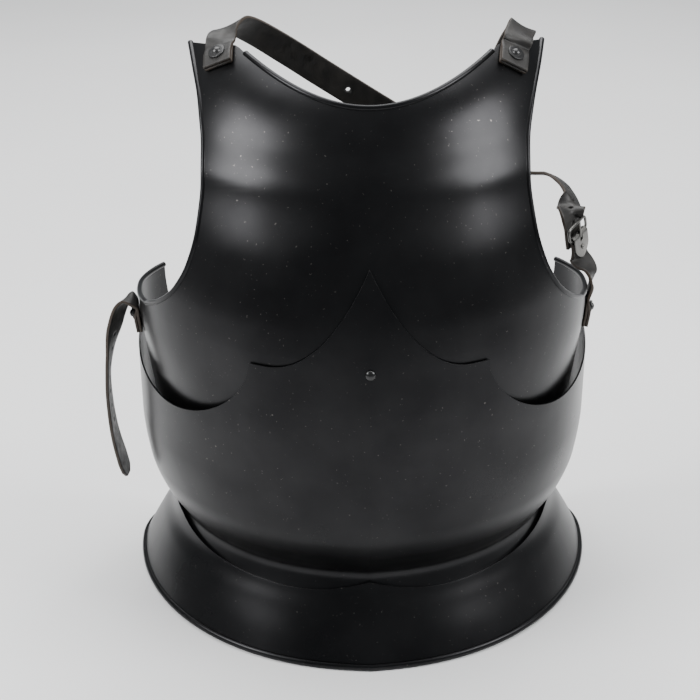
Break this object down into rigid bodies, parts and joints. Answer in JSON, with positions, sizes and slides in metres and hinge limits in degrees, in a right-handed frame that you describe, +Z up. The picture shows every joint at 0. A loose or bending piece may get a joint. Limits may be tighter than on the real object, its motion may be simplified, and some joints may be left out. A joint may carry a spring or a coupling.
{
  "type": "steel breastplate",
  "caption": "Blackened steel breastplate: plain chest plate with rolled neck and arm edges, cusped lapped belly plate, flared hip plate, and riveted leather straps with a buckle.",
  "frame": {"origin": "on the ground under the middle of the bounding box; the rolled rim of the fauld stands in the plane z = 0", "axes": "+Z up towards the shoulders, -Y the way the breast faces, +X towards the wearer's left side"},
  "size_m": [0.4489, 0.2924, 0.5065],
  "materials": {
    "plate_steel": "blackened, satin polish",
    "rivet_steel": "blackened, domed",
    "buckle_steel": "dull grey",
    "strap_leather": "black-brown, fine grain"
  },
  "bodies": {
    "root": {"chest_plate": "plate_steel", "plackart": "plate_steel", "fauld": "plate_steel", "centre_rivet": "rivet_steel", "flank_rivet_left": "rivet_steel", "flank_rivet_right": "rivet_steel", "waist_rivet_left": "rivet_steel", "waist_rivet_right": "rivet_steel", "shoulder_rivet_left": "rivet_steel", "shoulder_rivet_right": "rivet_steel", "side_rivet_left": "rivet_steel", "side_rivet_right": "rivet_steel", "shoulder_strap_left": "strap_leather", "shoulder_strap_right": "strap_leather", "side_strap_left": "strap_leather", "side_strap_right": "strap_leather", "buckle_frame": "buckle_steel", "buckle_tongue": "buckle_steel", "buckle_chape": "buckle_steel", "chape_rivet": "buckle_steel", "rear_buckle": "buckle_steel"}
  },
  "joints": []
}
